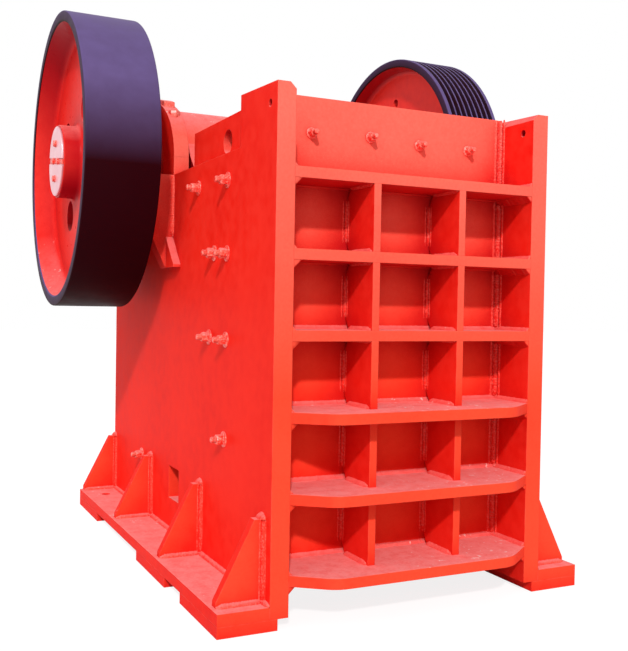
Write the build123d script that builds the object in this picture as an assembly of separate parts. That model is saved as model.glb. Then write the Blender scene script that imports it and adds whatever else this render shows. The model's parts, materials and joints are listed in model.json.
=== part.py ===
# Jaw crusher: a welded plate frame with toothed jaws, an eccentric shaft that carries a flywheel and a
# grooved belt pulley, a swing jaw hung on the shaft, and the toggle plate and tension rod behind it.
# Millimetres. +Z is up, the ribbed front wall faces -Y, the flywheel is on -X and the belt pulley on +X.
# Lengths along X are measured from the middle of the frame, and along Y from the front plane of the side
# walls. The finished pieces are moved, so that the origin lies at ground level below the middle of the
# machine with its wheels.
import os
from math import atan2, cos, radians, sin

from build123d import *

os.makedirs("parts", exist_ok=True)

# Side walls and the hopper plates above them
frame_width = 1448
wall = 88
wall_top = 2128
wall_tail = 207
post_rise = 222
post_depth = 428
post_slope = 20
post_chamfer = 28
rear_slope_height = 420
rear_slope_length = 170
hopper_plate = 45
hopper_height = 197
hopper_gap = 237
lifting_hole = 120
lifting_hole_behind = 284
lifting_hole_up = 74
pin_hole = 34
pin_hole_rear = 78
pin_hole_drop = 82
window_front = 1302
window_length = 185
window_bottom = 288
window_height = 182

# Base flanges, foot pads and gussets
pad_height = 50
pad_lap = 38
front_pad = 510
middle_pad_front = 762
middle_pad = 528
rear_pad = 538
flange = 55
flange_reach = 238
gusset = 45
front_gusset = 75
middle_gussets = (912, 1835)
gusset_top = 470
gusset_head = 46
gusset_setback = 20
gusset_toe = 24
anchor_hole = 56
anchor_hole_inset = 226
anchor_hole_out = 111

# Front wall with its ribs and stiffeners
front_wall = 70
front_setback = 260
rib = 48
rib_bottom = 184
rib_pitch = 353
rib_count = 6
bowed_ribs = 3
rib_bow = 130
bow_run = 172
bow_round = 160
stiffener = 36
stiffener_half_spacing = 229
notch_depth = 35
notch_height = 55

# Rear wall with its ribs and stiffeners
rear_wall = 80
rear_wall_inset = 300
rear_wall_bottom = 380
rear_wall_top = 1500
rear_rib = 40
rear_rib_depth = 180
rear_rib_count = 3
rear_stiffener_half_spacing = 300

# Eccentric shaft and its bearings
shaft_behind_jaw = 671
shaft_above_wall = 104
eccentricity = 20
journal_radius = 150
eccentric_radius = 190
hub_bore_radius = 125
running_gap = 0.08
housing_half_length = 552
saddle_depth = 228
saddle_half_top = 430
saddle_half_bottom = 300
cap_rise = 395
cover_radius = 335
cover_flange = 39
cover_depth = 78
cover_boss_radius = 240
cover_gap = 2
bracket = 100
bracket_reach = 126
bracket_height = 528
bracket_face = 350
bracket_foot = 42
bracket_toe = 150
bracket_toe_height = 175
bracket_toe_lip = 15

# Flywheel and belt pulley
flywheel_radius = 860
flywheel_width = 403
flywheel_gap = 82
flywheel_rim = 58
pulley_radius = 880
pulley_width = 360
pulley_gap = 169
pulley_rim = 52
flywheel_rim_root = 118
pulley_rim_root = 66
web = 70
flywheel_web_inset = 130
pulley_web_inset = 105
hub_radius = 215
hub_inset = 14
lightening_hole = 185
lightening_circle = 361
lightening_count = 4
lightening_turn = -57
balance_hole = 64
balance_circle = 610
balance_count = 4
balance_turn = 87
groove_count = 8
groove_pitch = 40
groove_depth = 30
groove_top = 31
groove_floor = 12
end_plate = 12
end_plate_inset = 10

# Crushing chamber and jaw plates
chamber_bottom = 330
chamber_rise = 22
gape = 900
discharge = 130
jaw_root = 80
tooth_height = 40
tooth_count = 12
tooth_flat = 16
cheek = 30
cheek_gap = 2
jaw_clamp = 80
clamp_nose = 40
rest_bar_depth = 90
rest_bar_height = 60

# Swing jaw
jaw_side_gap = 12
jaw_plate_back = 115
barrel_radius = 388
crown_angle = 45
neck_lap = 37
neck_length = 222
jaw_rib = 50
jaw_rib_half_spacing = 200
jaw_rib_step = 20
toe_ledge = 60
boss_low = 180
boss_high = 470
boss_depth = 205
boss_slope = 102
lug = 40
lug_gap = 12
lug_reach = 50
lug_pin_radius = 20
lug_pin_behind = 350
lug_pin_up = 30

# Toggle plate, its seats and the tension rod
toggle = 60
toggle_end_radius = 40
toggle_rise = 15.4
toggle_side_gap = 40
seat_side_gap = 70
seat_half_height = 95
seat_depth = 110
seat_behind = 525
seat_up = 320
rear_seat_depth = 280
seat_gap = 0.3
motion_gap = 5
rod_radius = 30
rod_tail = 50
eye_ring = 34
eye_half_width = 28
rod_hole_gap = 3
rod_tab_half_width = 150
rod_tab_bottom = 140
spring_length = 200
spring_radius = 84
spring_wire = 28
washer = 30
washer_radius = 92

# Widths across the machine, worked out from the sizes above
half_width = frame_width / 2
inner = half_width - wall
bow_half_flat = inner - bow_run
cover_outer = half_width + cover_depth
flywheel_inside = cover_outer + flywheel_gap
flywheel_outer = flywheel_inside + flywheel_width
pulley_inside = cover_outer + pulley_gap
pulley_outer = pulley_inside + pulley_width
end_plate_radius = hub_radius - end_plate_inset
fixed_jaw_half_width = inner - cheek - cheek_gap
jaw_half_width = inner - cheek - jaw_side_gap
seat_half_width = jaw_half_width - seat_side_gap
toggle_half_width = seat_half_width - toggle_side_gap
jaw_rib_places = (jaw_rib_half_spacing, jaw_half_width - jaw_rib / 2)

# Heights
flange_bottom = pad_height
flange_top = pad_height + flange
post_height = wall_top + post_rise
front_wall_top = post_height + post_slope * front_setback / post_depth
hopper_top = wall_top + hopper_height
shaft_height = wall_top + shaft_above_wall
journal_height = shaft_height - eccentricity
chamber_top = wall_top + chamber_rise

# Places from front to back
front_wall_back = front_setback + front_wall
jaw_thickness = jaw_root + tooth_height
fixed_face = front_wall_back + jaw_thickness
shaft_rear = fixed_face + gape + shaft_behind_jaw
housing_front = shaft_rear - housing_half_length
housing_back = shaft_rear + housing_half_length
hopper_rear = housing_front - hopper_gap
frame_length = housing_back + wall_tail
rear_wall_front = frame_length - rear_wall_inset
rear_wall_back = rear_wall_front + rear_wall
rod_end = rear_wall_back + spring_length + washer + rod_tail
pad_spans = (
    (0, front_pad),
    (middle_pad_front, middle_pad_front + middle_pad),
    (frame_length - rear_pad, frame_length),
)
gusset_fronts = (front_gusset, *middle_gussets, frame_length - gusset)
middle = (shaft_rear + max(flywheel_radius, pulley_radius) - rib_bow) / 2
side_middle = (pulley_outer - flywheel_outer) / 2
PLACE = Pos(-side_middle, -middle, 0)

# The swing jaw's lean and length
jaw_lean = atan2(gape - discharge, chamber_top - chamber_bottom)
jaw_length = (chamber_top - chamber_bottom) / cos(jaw_lean)
jaw_back = jaw_thickness + jaw_plate_back

# The swing jaw's own plane: x points back from its tooth tips, y climbs along the jaw and z runs across
# the machine.
jaw_plane = Plane(
    origin=(0, fixed_face + discharge, chamber_bottom),
    x_dir=(0, cos(jaw_lean), -sin(jaw_lean)),
    z_dir=(1, 0, 0),
)
barrel_centre = jaw_plane.to_local_coords(Vector(0, shaft_rear, journal_height))
groove_centre = jaw_plane.from_local_coords(Vector(seat_behind, seat_up, 0))
toggle_front = Vector(0, groove_centre.Y, groove_centre.Z + eccentricity)
toggle_length = (rear_wall_front - rear_seat_depth - toggle_front.Y) / cos(radians(toggle_rise))
toggle_plane = Plane(
    origin=toggle_front,
    x_dir=(0, cos(radians(toggle_rise)), sin(radians(toggle_rise))),
    z_dir=(1, 0, 0),
)
groove_plane = Plane(origin=groove_centre, x_dir=toggle_plane.x_dir, z_dir=(1, 0, 0))
lug_pin = jaw_plane.from_local_coords(Vector(lug_pin_behind, lug_pin_up, 0))
rod_height = lug_pin.Z + eccentricity


def save(name, shape):
    export_step(PLACE * shape, f"parts/{name}.step")


def save_pair(name, right):
    save(f"{name}_right", right)
    save(f"{name}_left", mirror(right, about=Plane.YZ))


def block(x0, x1, y0, y1, z0, z1):
    return Pos((x0 + x1) / 2, (y0 + y1) / 2, (z0 + z1) / 2) * Box(x1 - x0, y1 - y0, z1 - z0)


def across(points, x0, x1, plane=Plane.YZ):
    """A plate with its outline drawn in the machine's side view, from x0 to x1."""
    return Pos(x0, 0, 0) * extrude(plane * Polygon(*points, align=None), x1 - x0, dir=(1, 0, 0))


def along(points, y0, y1):
    """A plate with its outline drawn in the front view, from y0 back to y1."""
    return Pos(0, y0, 0) * extrude(Plane.XZ * Polygon(*points, align=None), y1 - y0, dir=(0, 1, 0))


def level(points, z0, z1):
    """A plate with its outline drawn in plan, from z0 up to z1."""
    return Pos(0, 0, z0) * extrude(Polygon(*points, align=None), z1 - z0, dir=(0, 0, 1))


def crossbar(radius, y, z, x0, x1):
    """A round bar along X."""
    bar = Rotation(0, 90, 0) * Cylinder(radius, x1 - x0)
    return Pos((x0 + x1) / 2, y, z) * bar


def on_shaft(points):
    """A turned piece on the shaft, from an outline of (place along X, radius) points."""
    outline = Plane.XY * Polygon(*points, align=None)
    return Pos(0, shaft_rear, shaft_height) * revolve(outline, Axis.X)


def saddle_outline():
    """The lower bearing seat's outline below the wall's top edge."""
    floor = wall_top - saddle_depth
    return [
        (shaft_rear - saddle_half_top, wall_top),
        (shaft_rear - saddle_half_bottom, floor),
        (shaft_rear + saddle_half_bottom, floor),
        (shaft_rear + saddle_half_top, wall_top),
    ]


def side_wall():
    outline = [
        (0, flange_bottom),
        (0, post_height),
        (post_depth, post_height + post_slope),
        (post_depth, wall_top),
        *saddle_outline(),
        (frame_length - rear_slope_length, wall_top),
        (frame_length, wall_top - rear_slope_height),
        (frame_length, flange_bottom),
    ]
    plate = across(outline, inner, half_width)
    corner = [
        (inner, post_height + post_slope),
        (inner + post_chamfer + post_slope, post_height + post_slope),
        (inner, post_height - post_chamfer),
    ]
    plate -= along(corner, 0, post_depth)
    plate -= crossbar(pin_hole / 2, pin_hole_rear, post_height - pin_hole_drop, inner, half_width)
    plate -= block(
        inner, half_width,
        window_front, window_front + window_length,
        window_bottom, window_bottom + window_height,
    )
    return plate


def hopper_side():
    plate = block(inner, inner + hopper_plate, post_depth, hopper_rear, wall_top, hopper_top)
    hole_rear = post_depth + lifting_hole_behind
    hole_height = wall_top + lifting_hole_up
    return plate - crossbar(lifting_hole / 2, hole_rear, hole_height, inner, inner + hopper_plate)


def anchor_cut():
    centre = Pos(half_width + anchor_hole_out, frame_length - anchor_hole_inset, flange_top / 2)
    return centre * Cylinder(anchor_hole / 2, flange_top)


def base_flange():
    plate = block(half_width, half_width + flange_reach, 0, frame_length, flange_bottom, flange_top)
    return plate - anchor_cut()


def foot_pads():
    pads = Part()
    for front, back in pad_spans:
        pads += block(half_width - pad_lap, half_width + flange_reach, front, back, 0, pad_height)
    return pads - anchor_cut()


def base_gussets():
    toe = half_width + flange_reach - gusset_setback
    outline = [
        (half_width, flange_top),
        (toe, flange_top),
        (toe, flange_top + gusset_toe),
        (half_width + gusset_head, gusset_top),
        (half_width, gusset_top),
    ]
    plates = Part()
    for front in gusset_fronts:
        plates += along(outline, front, front + gusset)
    return plates


def front_rib(bottom, bowed):
    if not bowed:
        return block(-inner, inner, 0, front_setback, bottom, bottom + rib)
    outline = [
        (-inner, front_setback),
        (-inner, 0),
        (-bow_half_flat, -rib_bow),
        (bow_half_flat, -rib_bow),
        (inner, 0),
        (inner, front_setback),
    ]
    plate = level(outline, bottom, bottom + rib)
    return fillet(plate.edges().filter_by(Axis.Z).group_by(Axis.Y)[0], bow_round)


def front_stiffeners():
    """Upright plates between the ribs, notched where they pass the ribs' welds on the front wall."""
    plates = Part()
    for row in range(rib_count - 1):
        low = rib_bottom + row * rib_pitch + rib
        high = low + rib_pitch - rib
        plates += across([
            (0, low),
            (front_setback - notch_depth, low),
            (front_setback, low + notch_height),
            (front_setback, high - notch_height),
            (front_setback - notch_depth, high),
            (0, high),
        ], stiffener_half_spacing - stiffener / 2, stiffener_half_spacing + stiffener / 2)
    return plates


def rear_plate():
    plate = block(-inner, inner, rear_wall_front, rear_wall_back, rear_wall_bottom, rear_wall_top)
    plate += block(
        -rod_tab_half_width, rod_tab_half_width,
        rear_wall_front, rear_wall_back, rod_tab_bottom, rear_wall_bottom,
    )
    hole = Pos(0, rear_wall_front + rear_wall / 2, rod_height) * Rotation(90, 0, 0)
    return plate - hole * Cylinder(rod_radius + rod_hole_gap, rear_wall)


def rear_rib_places():
    pitch = (rear_wall_top - rear_wall_bottom - rear_rib) / (rear_rib_count - 1)
    return [rear_wall_bottom + row * pitch for row in range(rear_rib_count)]


def rear_ribs():
    bars = Part()
    for low in rear_rib_places():
        bars += block(-inner, inner, rear_wall_back, rear_wall_back + rear_rib_depth, low, low + rear_rib)
    return bars


def rear_stiffeners():
    places = rear_rib_places()
    plates = Part()
    for low, high in zip(places, places[1:]):
        for x in (-rear_stiffener_half_spacing, rear_stiffener_half_spacing):
            plates += block(
                x - rear_rib / 2, x + rear_rib / 2,
                rear_wall_back, rear_wall_back + rear_rib_depth, low + rear_rib, high,
            )
    return plates


def bearing_bore():
    return crossbar(journal_radius + running_gap, shaft_rear, shaft_height, inner, half_width)


def bearing_housing():
    outline = [
        (housing_front, wall_top),
        *saddle_outline(),
        (housing_back, wall_top),
        (housing_back, shaft_height),
        (housing_front, shaft_height),
    ]
    return across(outline, inner, half_width) - bearing_bore()


def bearing_cap():
    dome = EllipticalCenterArc((shaft_rear, shaft_height), housing_half_length, cap_rise, arc_size=180)
    split = Line((housing_front, shaft_height), (housing_back, shaft_height))
    outline = Plane.YZ * make_face([dome, split])
    cap = Pos(inner, 0, 0) * extrude(outline, wall, dir=(1, 0, 0))
    return cap - bearing_bore()


def bearing_cover():
    bore = journal_radius + cover_gap
    step = half_width + cover_flange
    return on_shaft([
        (half_width, bore),
        (half_width, cover_radius),
        (step, cover_radius),
        (step, cover_boss_radius),
        (cover_outer, cover_boss_radius),
        (cover_outer, bore),
    ])


def bearing_brackets():
    """A pilaster under each end of the bearing housing, with a toe that runs out along the side wall."""
    foot = wall_top - bracket_height
    pilaster = along([
        (half_width, wall_top),
        (half_width + bracket_reach, wall_top),
        (half_width + bracket_reach, wall_top - bracket_face),
        (half_width + bracket_foot, foot),
        (half_width, foot),
    ], housing_front, housing_front + bracket)
    pilaster += across([
        (housing_front, foot + bracket_toe_height),
        (housing_front - bracket_toe, foot + bracket_toe_lip),
        (housing_front - bracket_toe, foot),
        (housing_front, foot),
    ], half_width, half_width + bracket_foot)
    return pilaster + mirror(pilaster, about=Plane(origin=(0, shaft_rear, 0), z_dir=(0, 1, 0)))


def eccentric_shaft():
    left_end = -flywheel_outer + hub_inset
    right_end = pulley_outer - hub_inset
    shaft = on_shaft([
        (left_end, 0),
        (left_end, hub_bore_radius),
        (-flywheel_inside, hub_bore_radius),
        (-flywheel_inside, journal_radius),
        (pulley_inside, journal_radius),
        (pulley_inside, hub_bore_radius),
        (right_end, hub_bore_radius),
        (right_end, 0),
    ])
    return shaft + crossbar(eccentric_radius, shaft_rear, journal_height, -jaw_half_width, jaw_half_width)


def web_holes(diameter, circle, count, first_turn, x0, x1):
    """Round holes through a wheel's web, turned from straight back and up over the shaft."""
    cuts = Part()
    for number in range(count):
        turn = radians(first_turn + 360 / count * number)
        y = shaft_rear + circle * cos(turn)
        z = shaft_height + circle * sin(turn)
        cuts += crossbar(diameter / 2, y, z, x0, x1)
    return cuts


def flywheel():
    web_outer = -flywheel_outer + flywheel_web_inset
    web_inside = web_outer + web
    hub_end = -flywheel_outer + hub_inset
    wheel = on_shaft([
        (-flywheel_outer, flywheel_radius - flywheel_rim),
        (-flywheel_outer, flywheel_radius),
        (-flywheel_inside, flywheel_radius),
        (-flywheel_inside, flywheel_radius - flywheel_rim),
        (web_inside, flywheel_radius - flywheel_rim_root),
        (web_inside, hub_radius),
        (-flywheel_inside, hub_radius),
        (-flywheel_inside, hub_bore_radius),
        (hub_end, hub_bore_radius),
        (hub_end, hub_radius),
        (web_outer, hub_radius),
        (web_outer, flywheel_radius - flywheel_rim_root),
    ])
    return wheel - web_holes(
        lightening_hole, lightening_circle, lightening_count, lightening_turn, web_outer, web_inside)


def groove_outline():
    """The belt pulley's rim from its inner to its outer edge, with a V groove for each belt."""
    edge = (pulley_width - groove_pitch * groove_count) / 2
    points = []
    for number in range(groove_count):
        centre = pulley_inside + edge + groove_pitch * (number + 0.5)
        points += [
            (centre - groove_top / 2, pulley_radius),
            (centre - groove_floor / 2, pulley_radius - groove_depth),
            (centre + groove_floor / 2, pulley_radius - groove_depth),
            (centre + groove_top / 2, pulley_radius),
        ]
    return points


def belt_pulley():
    web_inside = pulley_inside + pulley_web_inset
    web_outer = web_inside + web
    hub_end = pulley_outer - hub_inset
    wheel = on_shaft([
        (pulley_inside, pulley_radius - pulley_rim),
        (pulley_inside, pulley_radius),
        *groove_outline(),
        (pulley_outer, pulley_radius),
        (pulley_outer, pulley_radius - pulley_rim),
        (web_outer, pulley_radius - pulley_rim_root),
        (web_outer, hub_radius),
        (hub_end, hub_radius),
        (hub_end, hub_bore_radius),
        (pulley_inside, hub_bore_radius),
        (pulley_inside, hub_radius),
        (web_inside, hub_radius),
        (web_inside, pulley_radius - pulley_rim_root),
    ])
    return wheel - web_holes(balance_hole, balance_circle, balance_count, balance_turn, web_inside, web_outer)


def shaft_end_plate(wheel_outer):
    face = wheel_outer - hub_inset
    return crossbar(end_plate_radius, shaft_rear, shaft_height, face, face + end_plate)


def tooth_outline(back, half_width_of_plate):
    """A jaw plate's section: tooth tips on y = 0, roots behind them, a flat back at y = back."""
    points = [(-half_width_of_plate, back)]
    pitch = 2 * half_width_of_plate / tooth_count
    for number in range(tooth_count):
        left = -half_width_of_plate + number * pitch
        points += [
            (left, tooth_height),
            (left + (pitch - tooth_flat) / 2, 0),
            (left + (pitch + tooth_flat) / 2, 0),
        ]
    points += [(half_width_of_plate, tooth_height), (half_width_of_plate, back)]
    return points


def fixed_jaw_plate():
    outline = [(x, fixed_face - y) for x, y in tooth_outline(jaw_thickness, fixed_jaw_half_width)]
    return level(outline, chamber_bottom, chamber_top)


def fixed_jaw_clamp():
    outline = [
        (front_wall_back, chamber_top),
        (fixed_face - tooth_height, chamber_top),
        (front_wall_back + clamp_nose, chamber_top + jaw_clamp),
        (front_wall_back, chamber_top + jaw_clamp),
    ]
    return across(outline, -fixed_jaw_half_width, fixed_jaw_half_width)


def jaw_rest_bar():
    return block(
        -inner, inner, front_wall_back, front_wall_back + rest_bar_depth,
        chamber_bottom - rest_bar_height, chamber_bottom,
    )


def cheek_plate():
    outline = [
        (front_wall_back, chamber_bottom),
        (front_wall_back, wall_top),
        (fixed_face + gape, wall_top),
        (fixed_face + discharge, chamber_bottom),
    ]
    return across(outline, inner - cheek, inner)


def swing_jaw_plate():
    section = Plane(origin=jaw_plane.origin, x_dir=(1, 0, 0), z_dir=jaw_plane.y_dir)
    outline = section * Polygon(*tooth_outline(jaw_thickness, jaw_half_width), align=None)
    return extrude(outline, jaw_length, dir=jaw_plane.y_dir)


def swing_jaw_clamp():
    outline = [
        (tooth_height, jaw_length),
        (jaw_thickness, jaw_length),
        (jaw_thickness, jaw_length + jaw_clamp),
        (jaw_thickness - clamp_nose, jaw_length + jaw_clamp),
    ]
    return across(outline, -jaw_half_width, jaw_half_width, jaw_plane)


def swing_jaw():
    half = jaw_half_width
    crown = radians(crown_angle)
    neck_top = barrel_centre.Y - barrel_radius + neck_lap
    neck_bottom = barrel_centre.Y - barrel_radius - neck_length
    plate = across([
        (tooth_height, -toe_ledge),
        (tooth_height, 0),
        (jaw_thickness, 0),
        (jaw_thickness, jaw_length + jaw_clamp),
        (barrel_centre.X - barrel_radius * cos(crown), barrel_centre.Y + barrel_radius * sin(crown)),
        (barrel_centre.X, barrel_centre.Y),
        (barrel_centre.X, neck_top),
        (jaw_back, neck_bottom),
        (jaw_back, -toe_ledge),
    ], -half, half, jaw_plane)
    barrel = crossbar(barrel_radius, shaft_rear, journal_height, -half, half)
    boss = across([
        (jaw_back, boss_low),
        (jaw_back + boss_depth, boss_low),
        (jaw_back + boss_depth, boss_high),
        (jaw_back, boss_high + boss_slope),
    ], -seat_half_width, seat_half_width, jaw_plane)
    casting = plate + barrel + boss
    for x in jaw_rib_places:
        for side in (-x, x):
            casting += across([
                (jaw_back, boss_high),
                (jaw_back + boss_depth - jaw_rib_step, boss_high),
                (barrel_centre.X, neck_top),
                (jaw_back, neck_top),
            ], side - jaw_rib / 2, side + jaw_rib / 2, jaw_plane)
    lug_inside = eye_half_width + lug_gap
    lug_outside = lug_inside + lug
    for x0, x1 in ((-lug_outside, -lug_inside), (lug_inside, lug_outside)):
        casting += across([
            (jaw_back, -toe_ledge),
            (lug_pin_behind, lug_pin_up - lug_reach),
            (lug_pin_behind + lug_reach, lug_pin_up),
            (lug_pin_behind + lug_reach, boss_low),
            (jaw_back, boss_low),
        ], x0, x1, jaw_plane)
    casting += crossbar(lug_pin_radius, lug_pin.Y, lug_pin.Z, -lug_outside, lug_outside)
    return casting - crossbar(eccentric_radius + running_gap, shaft_rear, journal_height, -half, half)


def toggle_seat_front():
    groove = toggle_end_radius + eccentricity + motion_gap
    outline = [
        (-seat_depth, -seat_half_height),
        (0, -seat_half_height),
        (0, seat_half_height),
        (-seat_depth, seat_half_height),
    ]
    seat = across(outline, -seat_half_width, seat_half_width, groove_plane)
    seat -= crossbar(groove, groove_centre.Y, groove_centre.Z, -seat_half_width, seat_half_width)
    return seat - swing_jaw_back()


def swing_jaw_back():
    """All the space in front of the swing jaw's toggle boss face."""
    far = seat_half_width + seat_depth
    return across([
        (-2 * far, -2 * far),
        (jaw_back + boss_depth, -2 * far),
        (jaw_back + boss_depth, 4 * far),
        (-2 * far, 4 * far),
    ], -far, far, jaw_plane)


def toggle_plate():
    plate = across([
        (0, -toggle / 2),
        (toggle_length, -toggle / 2),
        (toggle_length, toggle / 2),
        (0, toggle / 2),
    ], -toggle_half_width, toggle_half_width, toggle_plane)
    for end in (0, toggle_length):
        centre = toggle_plane.from_local_coords(Vector(end, 0, 0))
        plate += crossbar(toggle_end_radius, centre.Y, centre.Z, -toggle_half_width, toggle_half_width)
    return plate


def toggle_seat_rear():
    centre = toggle_plane.from_local_coords(Vector(toggle_length, 0, 0))
    far = toggle_length + frame_length
    seat = across([
        (toggle_length, -seat_half_height),
        (far, -seat_half_height),
        (far, seat_half_height),
        (toggle_length, seat_half_height),
    ], -seat_half_width, seat_half_width, toggle_plane)
    seat -= crossbar(toggle_end_radius + seat_gap, centre.Y, centre.Z, -seat_half_width, seat_half_width)
    return seat & block(-half_width, half_width, 0, rear_wall_front, 0, post_height)


def tension_rod():
    eye_hole = lug_pin_radius + eccentricity + motion_gap
    eye = crossbar(eye_hole + eye_ring, lug_pin.Y, rod_height, -eye_half_width, eye_half_width)
    seat = rear_wall_back + spring_length
    rod_start = lug_pin.Y + eye_hole + eye_ring / 2
    eye -= crossbar(eye_hole, lug_pin.Y, rod_height, -eye_half_width, eye_half_width)
    rod = Pos(0, (rod_start + rod_end) / 2, rod_height) * Rotation(90, 0, 0)
    ring = Pos(0, seat + washer / 2, rod_height) * Rotation(90, 0, 0)
    return eye + rod * Cylinder(rod_radius, rod_end - rod_start) + ring * Cylinder(washer_radius, washer)


def tension_spring():
    axis = Pos(0, rear_wall_back + spring_length / 2, rod_height) * Rotation(90, 0, 0)
    coil = Cylinder(spring_radius, spring_length)
    return axis * (coil - Cylinder(spring_radius - spring_wire, spring_length))


save_pair("side_wall", side_wall())
save_pair("hopper_plate", hopper_side())
save_pair("base_flange", base_flange())
save_pair("foot_pads", foot_pads())
save_pair("base_gussets", base_gussets())
save("front_wall", block(-inner, inner, front_setback, front_wall_back, rib_bottom, front_wall_top))
for number in range(rib_count):
    bottom = rib_bottom + (rib_count - 1 - number) * rib_pitch
    save(f"front_rib_{number + 1}", front_rib(bottom, number >= rib_count - bowed_ribs))
save_pair("front_stiffeners", front_stiffeners())
save("rear_wall", rear_plate())
save("rear_ribs", rear_ribs())
save("rear_stiffeners", rear_stiffeners())
save_pair("bearing_housing", bearing_housing())
save_pair("bearing_cap", bearing_cap())
save_pair("bearing_cover", bearing_cover())
save_pair("bearing_brackets", bearing_brackets())
save("eccentric_shaft", eccentric_shaft())
save("flywheel", flywheel())
save("belt_pulley", belt_pulley())
save("shaft_end_plate_right", shaft_end_plate(pulley_outer))
save("shaft_end_plate_left", mirror(shaft_end_plate(flywheel_outer), about=Plane.YZ))
save("fixed_jaw_plate", fixed_jaw_plate())
save("fixed_jaw_clamp", fixed_jaw_clamp())
save("jaw_rest_bar", jaw_rest_bar())
save_pair("cheek_plate", cheek_plate())
save("swing_jaw", swing_jaw())
save("swing_jaw_plate", swing_jaw_plate())
save("swing_jaw_clamp", swing_jaw_clamp())
save("toggle_seat_front", toggle_seat_front())
save("toggle_plate", toggle_plate())
save("toggle_seat_rear", toggle_seat_rear())
save("tension_rod", tension_rod())
save("tension_spring", tension_spring())
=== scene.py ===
"""The looks of a red jaw crusher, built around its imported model. Metres, in the model's own frame."""
import json
import math
import random

import bmesh
import bpy
from mathutils import Matrix, Vector


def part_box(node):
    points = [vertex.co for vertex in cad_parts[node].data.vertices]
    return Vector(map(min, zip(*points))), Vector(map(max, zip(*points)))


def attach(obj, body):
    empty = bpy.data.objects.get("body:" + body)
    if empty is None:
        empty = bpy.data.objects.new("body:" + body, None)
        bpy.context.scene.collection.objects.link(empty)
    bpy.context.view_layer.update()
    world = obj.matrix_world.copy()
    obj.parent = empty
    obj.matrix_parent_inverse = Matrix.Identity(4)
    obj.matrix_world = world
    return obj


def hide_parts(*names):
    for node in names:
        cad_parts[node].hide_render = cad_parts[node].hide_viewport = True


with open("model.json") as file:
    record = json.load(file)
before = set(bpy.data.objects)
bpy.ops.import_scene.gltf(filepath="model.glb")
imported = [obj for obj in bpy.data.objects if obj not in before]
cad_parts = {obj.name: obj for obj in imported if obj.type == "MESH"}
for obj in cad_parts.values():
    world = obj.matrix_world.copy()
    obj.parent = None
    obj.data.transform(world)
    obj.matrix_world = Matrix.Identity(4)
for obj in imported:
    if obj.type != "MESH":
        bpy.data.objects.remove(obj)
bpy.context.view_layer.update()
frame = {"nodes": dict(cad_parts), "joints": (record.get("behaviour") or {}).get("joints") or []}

X, Y, Z = Vector((1, 0, 0)), Vector((0, 1, 0)), Vector((0, 0, 1))
SIDES = {"left": -1, "right": 1}

# Planes and edges of the frame, read from its nodes
LEFT_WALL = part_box("side_wall_left")
RIGHT_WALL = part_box("side_wall_right")
INNER = {"left": LEFT_WALL[1].x, "right": RIGHT_WALL[0].x}
OUTER = {"left": LEFT_WALL[0].x, "right": RIGHT_WALL[1].x}
MIDDLE = (OUTER["left"] + OUTER["right"]) / 2
FRONT = RIGHT_WALL[0].y
REAR = RIGHT_WALL[1].y
WALL_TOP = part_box("hopper_plate_right")[0].z
FLANGE_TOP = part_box("base_flange_right")[1].z
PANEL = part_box("front_wall")[0].y
PANEL_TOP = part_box("front_wall")[1].z
SHAFT = Vector(next(joint for joint in frame["joints"] if joint["name"] == "shaft_spin")["pos_m"])

# Camera of the photograph
CAMERA_EYE = Vector((-2.2775, -4.9254, 1.3985))
CAMERA_YAW = math.radians(-25.907)
CAMERA_PITCH = math.radians(-1.2495)
CAMERA_ROLL = math.radians(0.965)
CAMERA_LENS = 50.21
CAMERA_SENSOR = 36.0

# Light: two suns with their spread in degrees, the sky, and a floor that looks white to the camera
KEY_SUN = {"direction": (0.48, 1, -0.75), "energy": 2.6, "spread": 3, "colour": (1, 0.985, 0.96)}
FILL_SUN = {"direction": (1, 0.25, -0.5), "energy": 0.5, "spread": 50, "colour": (1, 1, 1)}
WHITE = (1, 1, 1, 1)
SKY = (0.95, 0.97, 1, 1)
SKY_STRENGTH = 0.52
FLOOR = (0.78, 0.78, 0.78, 1)
FLOOR_SIZE = 80
FLOOR_ROUGHNESS = 0.9
FLOOR_GLOW = 1.2
FLOOR_GLOW_SHARE = 0.7

# Colours of the paint, its dust and its wear, and of the painted light, shade and sheen on it
RED = (0.88, 0.019, 0.009, 1)
RED_DEEP = (0.77, 0.012, 0.007, 1)
RED_PALE = (0.91, 0.036, 0.022, 1)
# Painted light on the open front faces, lower and higher up
RED_FRONT_LIGHT_LOW = (0.94, 0.078, 0.033, 1)
RED_FRONT_LIGHT_HIGH = (0.95, 0.180, 0.130, 1)
RED_EDGE = (0.94, 0.160, 0.110, 1)
# Painted shade in corners and on faces that look down
RED_PAINTED_SHADE = (0.34, 0.002, 0.010, 1)
RED_SPECK = (0.95, 0.250, 0.200, 1)
DUST = (0.93, 0.260, 0.250, 1)
FLECK = (0.95, 0.74, 0.70, 1)
BLACK = (0.021, 0.001, 0.003, 1)
# Painted sheen on the rims' upward faces, and worn rim edges with a painted highlight
BLACK_SHEEN = (0.120, 0.082, 0.210, 1)
BLACK_WEAR_AND_HIGHLIGHT = (0.250, 0.205, 0.300, 1)
BLACK_GROOVE = (0.020, 0.008, 0.022, 1)

# Reach of worn edges, and samples of the shaders that look round a point
PAINT_EDGE = 0.006
STEEL_EDGE = 0.005
SHADER_SAMPLES = 6

# Angles in degrees above which an edge is sharp: on plates and bolts, on wheels, and on welds and wire
CREASE = 35
WHEEL_CREASE = 30
ROUND_CREASE = 60

# Depth to which small pieces are sunk into the plate they stand on
SINK = 0.002

# Hexagons: chamfers as shares of the corner radius, and their heights as shares of the whole
HEX_FOOT = 0.96
HEX_FOOT_RISE = 0.08
HEX_TOP = 0.86
HEX_TOP_RISE = 0.86

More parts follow.
